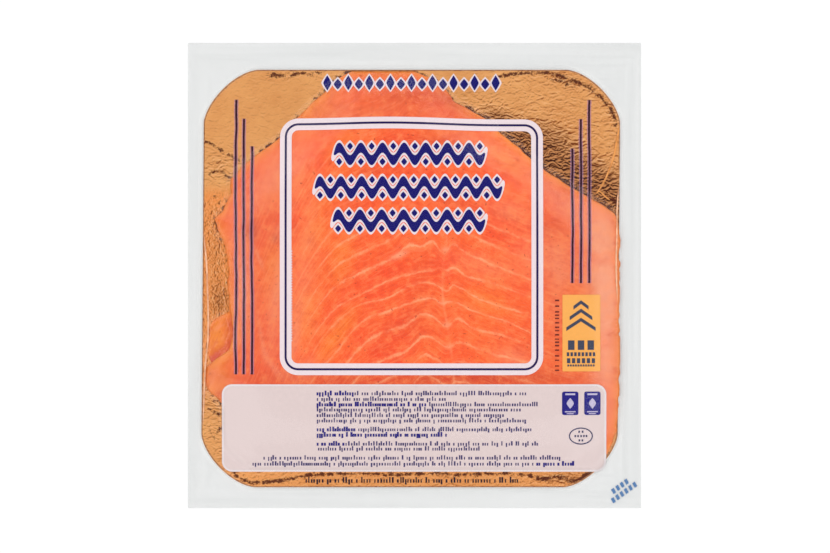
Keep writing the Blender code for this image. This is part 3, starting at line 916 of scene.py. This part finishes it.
def makeSlice(name, piece, rowCount, columnCount, topOf, bottomOf, material, tuckShadeLevel=0.0):
    low, high = piece["left"][-1][1] * mm, piece["left"][0][1] * mm
    rows = np.linspace(low, high, rowCount)
    left, right = sliceEdges(piece, rows)
    x, y = spanGrid(rows, left, right, np.linspace(0, 1, columnCount))
    top = topOf(x, y)
    bottom = np.minimum(bottomOf(x, y), top - 0.05 * mm)
    part = addPiece(name, [sheetParts(x, y, top, bottom)], material, 60)
    addUv(part, "grain", grainAcross(x, y) * 100, grainLayer(x, y))
    inset = sliceInset(piece, x, y)
    rim = np.exp(-(np.maximum(inset, 0) / (2.8 * mm)) ** 1.5)
    # Painted shade and darker flesh: below y = -17 mm the lower slice turns deep red next to and under the top
    # slice's edge, partly the darker flesh of the tuck, partly the top slice's painted shadow
    tuckShade = tuckShadeLevel * smoothStep(1.2 + readRaster(topInsetTable, x, y) / (4.2 * mm))
    tuckShade = tuckShade * smoothStep((-17 * mm - y) / (6 * mm))
    tuckShade = np.clip(tuckShade * (1.05 + 0.5 * layeredNoise(x, y, 5 * mm, 4 * mm, 43, 2)), 0, 1)
    uneven = 1 + 0.5 * layeredNoise(x, y, 13 * mm, 9 * mm, 41, 3)
    addPointValue(part, "pale", np.clip(softSpots(x, y, grain["pale"]) * uneven * (1 - 0.8 * rim) - tuckShade, 0, 0.9))
    addPointValue(part, "deep", np.clip(softSpots(x, y, grain["deep"]) * uneven + 0.85 * tuckShade, 0, 1))
    addPointValue(part, "amber", np.clip(softSpots(x, y, grain["amber"]) * uneven + rim + tuckShade, 0, 1))
    # the foil shows through a little outside the middle, where the slices are thinner
    middle = smoothStep((60 * mm - np.abs(x)) / (9 * mm)) * smoothStep((60 * mm - np.abs(y - 12 * mm)) / (9 * mm))
    addPointValue(part, "dull", 0.14 * (1 - middle))
    window = smoothStep((30 * mm - y) / (14 * mm)) * smoothStep((66 * mm - x) / (24 * mm))
    addPointValue(part, "seams", 0.22 + 0.78 * window * smoothStep((x + 62 * mm) / (38 * mm)))
    return part


makeSlice("lowerSlice", lowerSlice, 120, 110, lowerTop,
          lambda x, y: boardTop(x, y) + 0.02 * mm, curedFlesh("cold-smoked salmon, inner slice"), 0.95)
makeSlice("topSlice", topSlice, 218, 212, topSliceTop,
          lambda x, y: readRaster(drapedLower, x, y) + 0.05 * mm, curedFlesh("cold-smoked salmon, sliced"))
print("slices done")


inkDepth = {"front": 0.06 * mm, "dark": 0.10 * mm, "light": 0.20 * mm, "thickness": 0.015 * mm}


def inkLayer(x, y, level, wrap=False):
    # a thin closed layer of ink on the inner face of the film
    top = filmTop(x, y) - inkDepth[level]
    return sheetParts(x, y, top, top - inkDepth["thickness"], wrap)


def inkBlocks(x, y, width, height, level, turn=0.0, slant=0.0):
    # many small closed blocks of ink at once: arrays of centres, widths and heights in
    # metres; each block is turned and slanted in the plane of the film
    signX = np.array([-0.5, 0.5, 0.5, -0.5])
    signY = np.array([-0.5, -0.5, 0.5, 0.5])
    alongX = width[:, None] * signX + slant * height[:, None] * signY
    alongY = height[:, None] * signY
    c, s = math.cos(turn), math.sin(turn)
    cornerX = x[:, None] + c * alongX - s * alongY
    cornerY = y[:, None] + s * alongX + c * alongY
    top = filmTop(cornerX, cornerY) - inkDepth[level]
    upper = np.stack([cornerX, cornerY, top], axis=-1)
    lower = np.stack([cornerX, cornerY, top - inkDepth["thickness"]], axis=-1)
    points = np.concatenate([upper, lower], axis=1).reshape(-1, 3)
    faces = np.array([(0, 1, 2, 3), (7, 6, 5, 4), (4, 5, 1, 0), (5, 6, 2, 1), (6, 7, 3, 2), (7, 4, 0, 3)])
    quads = (np.arange(len(x))[:, None, None] * 8 + faces).reshape(-1, 4)
    return points, quads


def ink(name, colour, cover, mottle=0.06):
    # gravure ink on the inside of the film: matt, and slightly see-through where the
    # printing cells leave pinholes
    material, tree = newMaterial(name)
    place = addNode(tree, "ShaderNodeTexCoord")
    grainy = addNode(tree, "ShaderNodeTexNoise", {
        "Vector": place.outputs["Object"], "Scale": 700.0, "Detail": 2.0})
    share = addNode(tree, "ShaderNodeMapRange", {
        "Value": grainy.outputs[0], "From Min": 0.3, "From Max": 0.7,
        "To Min": cover - mottle, "To Max": cover + mottle})
    body = addNode(tree, "ShaderNodeBsdfDiffuse", {"Color": hexColour(colour)})
    clear = addNode(tree, "ShaderNodeBsdfTransparent", {})
    mixed = addNode(tree, "ShaderNodeMixShader", {
        0: share.outputs[0], 1: clear.outputs[0], 2: body.outputs[0]})
    addNode(tree, "ShaderNodeOutputMaterial", {"Surface": mixed.outputs[0]})
    return material


whiteInk = ink("white gravure ink", "#e0cecc", 0.96, 0.02)
rimInk = ink("white gravure ink, edge of the field", "#eae0e2", 0.92, 0.02)
frameInk = ink("white gravure ink, double hit", "#f2e2e6", 0.90, 0.02)
blueInk = ink("dark blue gravure ink", "#17136c", 0.95, 0.02)
haloInk = ink("thin lilac trapping ink", "#d0a0c4", 0.26, 0.05)
stripeInk = ink("dark purple gravure ink", "#3a0a20", 0.58, 0.03)
lineInk = ink("dark purple gravure ink, fine line", "#241652", 0.93, 0.02)
textInk = ink("violet-blue small-print ink", "#3f3577", 0.64, 0.12)
boldInk = ink("violet-blue small-print ink, bold", "#2a2180", 0.86, 0.06)
brownInk = ink("dark small-print ink on clear film", "#2c1630", 0.70, 0.10)
yellowInk = ink("yellow-orange spot ink", "#fbb35c", 0.93, 0.02)
greyInk = ink("slate grey spot ink", "#454a5e", 0.92, 0.03)
lightBlueInk = ink("light blue spot ink", "#1d74b8", 0.85, 0.05)
iconInk = ink("blue gravure ink, solid field", "#262080", 0.93, 0.03)
paleMarkInk = ink("white gravure ink on blue", "#cfc6e0", 0.80, 0.08)
ovalInk = ink("violet-blue small-print ink, fine line", "#433f6e", 0.74, 0.10)
sideInk = ink("dark small-print ink, thin", "#7c2a24", 0.72, 0.10)


def roundedField(centre, size, radius, step, turn=0.0):
    # grid over a round-cornered rectangle, in rows that follow its corner arcs
    count = max(4, int(round(size[1] / step)))
    rows = -np.cos(np.linspace(0, math.pi, count + 1)) * 0.25 + np.linspace(-0.25, 0.25, count + 1)
    rows = rows * size[1] * 0.9985
    span = roundedSpan(rows, size[0], size[1], min(radius, size[1] / 2))
    x, y = spanGrid(rows, -span, span, np.linspace(0, 1, max(4, int(round(size[0] / step))) + 1))
    c, s = math.cos(turn), math.sin(turn)
    return centre[0] + c * x - s * y, centre[1] + s * x + c * y


def lozenge(centre, width, height, step=0.42 * mm):
    # a diamond with slightly bulging sides: half width falls as (1 - |t|^1.3)
    t = np.linspace(-0.995, 0.995, max(6, int(height / step)) + 1)
    span = width / 2 * (1 - np.abs(t) ** 1.3) + 0.02 * mm
    x, y = spanGrid(t * height / 2, -span, span, np.linspace(0, 1, max(4, int(width / step)) + 1))
    return centre[0] + x, centre[1] + y


windowFrame = {
    "centre": (-1.4 * mm, 13.3 * mm), "outer": (121.8 * mm, 118.7 * mm),
    "inner": (110.9 * mm, 107.8 * mm), "lineRadius": 5.8 * mm,
    "lineWidth": 0.98 * mm,
    "dotsFrom": -30 * mm, "dotsTo": 12 * mm, "dotPitch": 1.25 * mm,    # a torn edge of ink
    "bow": 0.8 * mm, "bowAt": -12 * mm, "bowWidth": 26 * mm, "droop": 0.35 * mm,
}


def makeWindowFrame():
    outer, inner = windowFrame["outer"], windowFrame["inner"]
    width = (outer[0] - inner[0]) / 2
    middle = (outer[0] - width, outer[1] - width)
    path = roundedPath(windowFrame["centre"], middle, windowFrame["lineRadius"], 0.8 * mm)
    # the stretched film bows the frame's top side up and lets its right end down
    bow = windowFrame["bow"] * np.exp(-((path[:, 0] - windowFrame["bowAt"]) / windowFrame["bowWidth"]) ** 2)
    droop = windowFrame["droop"] * smoothStep((path[:, 0] - 5 * mm) / (30 * mm))
    upper = smoothStep((path[:, 1] - windowFrame["centre"][1]) / (50 * mm))
    path[:, 1] += (bow - droop) * upper
    x, y = bandGrid(path, width, 8, closed=True)
    dotY = np.arange(windowFrame["dotsFrom"], windowFrame["dotsTo"], windowFrame["dotPitch"])
    dotX = np.full(len(dotY), windowFrame["centre"][0] - inner[0] / 2 + 0.1 * mm)
    size = np.full(len(dotY), 0.55 * mm)
    dots = inkBlocks(dotX, dotY, size, size, "light")
    addPiece("windowFrame", [inkLayer(x, y, "light", True), dots], frameInk)
    x, y = bandGrid(path, windowFrame["lineWidth"], 3, closed=True)
    addPiece("windowLine", [inkLayer(x, y, "dark", True)], lineInk)


makeWindowFrame()

stripes = {
    "left": ((-82.7, 82.3, -45.7), (-79.0, 73.5, -45.7), (-75.2, 60.5, -45.7)),
    "right": ((73.0, 59.1, -3.5), (77.0, 73.0, -3.5), (80.9, 81.6, -3.5)),
    "width": 0.95 * mm, "haloWidth": 1.9 * mm,
}


def makeStripes(side):
    lines, halos = [], []
    for x, top, bottom in stripes[side]:
        y = np.arange(bottom, top, 0.8) * mm
        wander = 0.35 * mm * layeredNoise(0 * y + x * mm, y, 9 * mm, 14 * mm, 33, 2)
        path = np.column_stack([x * mm + wander, y])[::-1]
        lines.append(inkLayer(*bandGrid(path, stripes["width"], 2), "dark"))
        halos.append(inkLayer(*bandGrid(path, stripes["haloWidth"], 4), "light"))
    addPiece("stripes" + side.capitalize(), lines, stripeInk)
    addPiece("stripeHalos" + side.capitalize(), halos, haloInk)


makeStripes("left")
makeStripes("right")

# Rows of plain wave ornament where the title is printed: left, right and middle height
# in millimetres, and the number of waves
titleRows = {
    "rows": ((-37.3, 32.7, 56.2, 7), (-46.1, 40.6, 40.7, 9), (-37.8, 32.7, 25.3, 7)),
    "swing": 2.9 * mm, "ribbon": 4.7 * mm, "outline": 1.15 * mm, "lozenge": (2.7 * mm, 3.4 * mm),
}


def waveRibbon(left, right, middle, waves, grow):
    # a sine wave of even upright thickness, rounded off at both ends, made larger all
    # round by `grow`
    t = np.linspace(0, 1, int((right - left) / (0.55 * mm)))
    x = left - grow + (right - left + 2 * grow) * t
    phase = (x - left) / (right - left) * waves * 2 * math.pi
    ends = np.minimum(x - left + grow, right + grow - x)
    half = (titleRows["ribbon"] / 2 + grow) * np.sqrt(1 - (1 - np.clip(ends / (2 * mm), 0.02, 1)) ** 2)
    across = np.linspace(-1, 1, 7)
    crest = middle + titleRows["swing"] * np.sin(phase)
    y = crest[:, None] + half[:, None] * across[None, ::-1]
    return np.repeat(x[:, None], 7, axis=1), y


def makeTitle():
    dark, light = [], []
    width, height = titleRows["lozenge"]
    grow = titleRows["outline"]
    for left, right, middle, waves in titleRows["rows"]:
        left, right, middle = left * mm, right * mm, middle * mm
        dark.append(inkLayer(*waveRibbon(left, right, middle, waves, 0), "dark"))
        light.append(inkLayer(*waveRibbon(left, right, middle, waves, grow), "light"))
        pitch = (right - left) / waves
        for half in range(2 * waves):           # one lozenge in each hollow
            x = left + pitch * (half / 2 + 0.25)
            y = middle + (-1, 1)[half % 2] * 3.6 * mm
            dark.append(inkLayer(*lozenge((x, y), width, height), "dark"))
            light.append(inkLayer(*lozenge((x, y), width + 1.7 * grow, height + 1.9 * grow), "light"))
    addPiece("titleWaves", dark, blueInk, 30)
    addPiece("titleOutline", light, frameInk, 30)


makeTitle()

contentRow = {
    "left": -42.4, "right": 39.6, "middle": 89.2, "count": 17,
    "size": (3.7 * mm, 7.0 * mm), "outline": 0.9 * mm,
}


def makeContentRow():
    # a row of lozenges, tall and low by turns, stands where the net content is printed
    dark, light = [], []
    grow = 2 * contentRow["outline"]
    for index, x in enumerate(np.linspace(contentRow["left"] + 2, contentRow["right"] - 2, contentRow["count"])):
        width, height = contentRow["size"]
        height = height * (1.0, 0.72)[index % 2]
        centre = (x * mm, (contentRow["middle"] - (0, 0.6)[index % 2]) * mm)
        dark.append(inkLayer(*lozenge(centre, width, height), "dark"))
        light.append(inkLayer(*lozenge(centre, width + grow, height + grow), "light"))
    addPiece("contentLozenges", dark, blueInk, 30)
    addPiece("contentOutline", light, frameInk, 30)


makeContentRow()

labelPanel = {
    "centre": (-0.2 * mm, -70.6 * mm), "size": (178.0 * mm, 40.6 * mm), "radius": 4.8 * mm,
    "rim": 0.9 * mm,
}


def makeLabelPanel():
    x, y = roundedField(labelPanel["centre"], labelPanel["size"], labelPanel["radius"], 0.9 * mm)
    addPiece("labelPanel", [inkLayer(x, y, "light")], whiteInk)
    rim = labelPanel["rim"]
    size = (labelPanel["size"][0] - rim, labelPanel["size"][1] - rim)
    path = roundedPath(labelPanel["centre"], size, labelPanel["radius"] - rim / 2, 0.9 * mm)
    x, y = bandGrid(path, rim, 3, closed=True)
    addPiece("labelPanelRim", [inkLayer(x, y, "dark", True)], rimInk)


makeLabelPanel()

# Rows of small plain blocks in place of small print: left end, right end, height of the
# row, and where its bold part starts and ends, in millimetres
smallPrint = {
    "rows": (
        (-45.4, 52.6, -54.7, -45.4, -28.5), (-45.4, 15.1, -57.3, 0, 0),
        (-45.4, 57.7, -59.8, -45.4, 5.3), (-45.4, 49.8, -62.2, 0, 0),
        (-45.4, 42.0, -64.8, 0, 0), (-45.4, 52.6, -67.3, 0, 0),
        (-45.4, 56.3, -71.4, -45.4, -26.7), (-45.4, 16.0, -73.9, -45.4, 16.0),
        (-45.4, 58.2, -78.1, -45.4, -31.8), (-44.9, 30.4, -80.4, 0, 0),
        (-70.2, 69.3, -84.6, 0, 0), (-75.3, 74.4, -87.4, 56.8, 74.4),
    ),
    "bodyHeight": 1.25, "pitch": 1.12, "space": 1.0,
}


def blockRow(left, right, base, seed, pitch, bodyHeight, space):
    # Block centres and sizes of one row, in millimetres. Blocks come in runs of two to
    # nine with a space between runs; one in four is taller and one in eight hangs lower.
    draw = np.random.RandomState(seed)
    steps = np.where(draw.rand(400) < 0.17, pitch + space, pitch * (0.8 + 0.4 * draw.rand(400)))
    x = left + pitch / 2 + np.append(0, np.cumsum(steps))
    x = x[x < right - pitch * 0.4]
    kind = draw.rand(len(x))
    rise = np.where(kind < 0.25, 0.62 * bodyHeight, 0.0)
    hang = np.where(kind > 0.88, 0.5 * bodyHeight, 0.0)
    width = pitch * (0.42 + 0.26 * draw.rand(len(x)))
    height = bodyHeight + rise + hang
    return x * mm, (base + bodyHeight / 2 + (rise - hang) / 2) * mm, width * mm, height * mm


def makeSmallPrint():
    plain, bold = [], []
    body = smallPrint["bodyHeight"]
    for index, (left, right, middle, boldFrom, boldTo) in enumerate(smallPrint["rows"]):
        x, y, width, height = blockRow(left, right, middle - body / 2, 200 + index,
                                       smallPrint["pitch"], body, smallPrint["space"])
        isBold = (x > boldFrom * mm) & (x < boldTo * mm)
        if isBold.any():
            bold.append(inkBlocks(x[isBold], y[isBold], width[isBold] * 1.35, height[isBold] * 1.08, "dark"))
        if not isBold.all():
            plain.append(inkBlocks(x[~isBold], y[~isBold], width[~isBold], height[~isBold], "dark"))
    addPiece("smallPrintBlocks", plain, textInk)
    addPiece("smallPrintBoldBlocks", bold, boldInk)


makeSmallPrint()


def makeFootRow():
    x, y, width, height = blockRow(-50.8, 48.9, -96.0, 231, 1.25, 1.6, 1.1)
    addPiece("footRowBlocks", [inkBlocks(x, y, width, height, "dark")], brownInk)


makeFootRow()

icons = {
    "centres": ((72.0, -59.1), (82.3, -59.1)), "size": (7.6 * mm, 10.9 * mm), "radius": 0.9 * mm,
    "bars": ((4.2, -3.9, -4.8), (4.6, 5.0, 3.2), (0.8, 0.5, 0.4)),     # heights, widths, sizes in mm
}


def makeIcons():
    # two blue fields, each with a pale lozenge between two short pale bars
    fields, marks = [], []
    for x, y in icons["centres"]:
        field = roundedField((x * mm, y * mm), icons["size"], icons["radius"], 0.7 * mm)
        fields.append(inkLayer(*field, "dark"))
        marks.append(inkLayer(*lozenge((x * mm, y * mm), 3.4 * mm, 5.0 * mm), "front"))
        barX = np.full(3, x * mm)
        barY = (y + np.array(icons["bars"][0])) * mm
        wide, tall = (np.array(sizes) * mm for sizes in icons["bars"][1:])
        marks.append(inkBlocks(barX, barY, wide, tall, "front"))
    addPiece("iconFields", fields, iconInk)
    addPiece("iconMarks", marks, paleMarkInk)


makeIcons()

oval = {"centre": (77.0 * mm, -74.3 * mm), "half": (5.3 * mm, 3.7 * mm), "line": 0.55 * mm}


def makeOval():
    turn = np.linspace(0, 2 * math.pi, 65)[:-1]
    path = np.column_stack([
        oval["centre"][0] + oval["half"][0] * np.cos(turn), oval["centre"][1] + oval["half"][1] * np.sin(turn)])
    ring = inkLayer(*bandGrid(path, oval["line"], 2, closed=True), "dark", True)
    across = np.array([-0.8, 0.8, -2.6, -1.3, 0.1, 1.4, 2.6, -0.7, 0.7]) * mm
    up = np.array([2.0, 2.0, 0, 0, 0, 0, 0, -2.0, -2.0]) * mm
    bars = inkBlocks(oval["centre"][0] + across, oval["centre"][1] + up,
                     np.full(9, 0.75 * mm), np.full(9, 1.0 * mm), "dark")
    addPiece("ovalMark", [ring, bars], ovalInk)


makeOval()

patch = {"centre": (77.2 * mm, -26.6 * mm), "size": (17.6 * mm, 35.5 * mm)}


def chevron(middle, height, width, rise, thickness):
    # a bent bar: upright thickness is even, and its middle stands `rise` above its ends
    t = np.linspace(-1, 1, 25)
    crest = height + rise * (0.5 - np.abs(t))
    x = np.repeat((middle + t * width / 2)[:, None], 4, axis=1)
    return x, crest[:, None] + thickness / 2 * np.linspace(1, -1, 4)[None, :]


def makePatch():
    # a yellow-orange field with stacked bent bars over rows of plain blocks
    x, y = roundedField(patch["centre"], patch["size"], 0.3 * mm, 0.9 * mm)
    addPiece("patchField", [inkLayer(x, y, "light")], yellowInk)
    marks = []
    for height, width, rise in ((-13.6, 7.0, 2.6), (-18.0, 10.5, 3.6), (-22.6, 13.6, 4.4)):
        marks.append(inkLayer(*chevron(77.0 * mm, height * mm, width * mm, rise * mm, 1.7 * mm), "dark"))
    for middle, tall, count, span, seed in (
            (-32.2, 4.4, 3, 13.6, 1), (-36.4, 1.8, 8, 13.8, 2), (-39.4, 2.3, 6, 13.8, 3), (-41.6, 0.9, 11, 13.0, 4)):
        x = (77.0 + span * (np.arange(count) + 0.5 - count / 2) / count) * mm
        wide = np.full(count, span / count * 0.66) * mm
        marks.append(inkBlocks(x, np.full(count, middle) * mm, wide, np.full(count, tall) * mm, "dark"))
    addPiece("patchMarks", marks, greyInk)


makePatch()


def makeSideRow():
    # a narrow upright row of blocks beside the yellow-orange field
    y, x, height, width = blockRow(-44.7, -9.0, 64.9, 251, 1.75, 1.9, 0.9)
    addPiece("sideRowBlocks", [inkBlocks(x * 0 + 65.9 * mm, y, np.full(len(x), 1.9 * mm), height * 0.62, "dark")],
             sideInk)


makeSideRow()

cornerRows = {
    "starts": ((91.3, -100.6), (91.2, -104.9)), "counts": (4, 6), "turn": 36,
    "pitch": 2.45, "size": (1.45 * mm, 2.4 * mm),
}


def makeCornerRows():
    # two short slanted rows at the corner where the pouch is peeled open
    turn = math.radians(cornerRows["turn"])
    rows = []
    for (startX, startY), count in zip(cornerRows["starts"], cornerRows["counts"]):
        at = (np.arange(count) + 0.5) * cornerRows["pitch"]
        x = (startX + at * math.cos(turn)) * mm
        y = (startY + at * math.sin(turn)) * mm
        width, height = cornerRows["size"]
        rows.append(inkBlocks(x, y, np.full(count, width), np.full(count, height), "dark", turn, 0.12))
    addPiece("cornerBlocks", rows, lightBlueInk)


makeCornerRows()
print("print done")


def studioFloor():
    material, tree = newMaterial("white paper sweep")
    shader = addNode(tree, "ShaderNodeBsdfDiffuse", {"Color": hexColour("#f7f7f7")})
    addNode(tree, "ShaderNodeOutputMaterial", {"Surface": shader.outputs[0]})
    mesh = bpy.data.meshes.new("floor")
    reach, level = 6.0, -0.0002
    corners = [(-reach, -reach, level), (reach, -reach, level), (reach, reach, level), (-reach, reach, level)]
    mesh.from_pydata(corners, [], [(0, 1, 2, 3)])
    mesh.materials.append(material)
    floor = bpy.data.objects.new("floor", mesh)
    bpy.context.scene.collection.objects.link(floor)


studio = {
    "sky": 0.37, "softboxPower": 6.5, "softboxSize": 1.2, "softboxDistance": 1.5, "softboxHeight": 50,
}


def makeStudio():
    world = bpy.data.worlds.new("studio")
    world.use_nodes = True
    sky = world.node_tree.nodes["Background"]
    sky.inputs[0].default_value = hexColour("#ffffff")
    sky.inputs[1].default_value = studio["sky"]
    bpy.context.scene.world = world
    rise = math.radians(studio["softboxHeight"])
    away = studio["softboxDistance"]
    for quarter in range(4):
        turn = (quarter + 0.5) * math.pi / 2
        light = bpy.data.lights.new("softbox%d" % quarter, "AREA")
        light.energy = studio["softboxPower"]
        light.size = studio["softboxSize"]
        lamp = bpy.data.objects.new(light.name, light)
        level = away * math.cos(rise)
        lamp.location = (level * math.cos(turn), level * math.sin(turn), away * math.sin(rise))
        lamp.rotation_euler = (math.pi / 2 - rise, 0, turn + math.pi / 2)
        bpy.context.scene.collection.objects.link(lamp)


camera = {"distance": 2.0, "fieldWidth": 384.8 * mm, "lookAt": (0.23 * mm, -0.46 * mm)}


def makeCamera():
    data = bpy.data.cameras.new("camera")
    data.sensor_width = 36
    data.lens = 36 * camera["distance"] / camera["fieldWidth"]
    data.clip_start, data.clip_end = 0.05, 20
    eye = bpy.data.objects.new("camera", data)
    eye.location = (*camera["lookAt"], camera["distance"])
    bpy.context.scene.collection.objects.link(eye)
    bpy.context.scene.camera = eye


studioFloor()
makeStudio()
makeCamera()
bpy.context.scene.view_settings.view_transform = "Standard"
print("studio done")
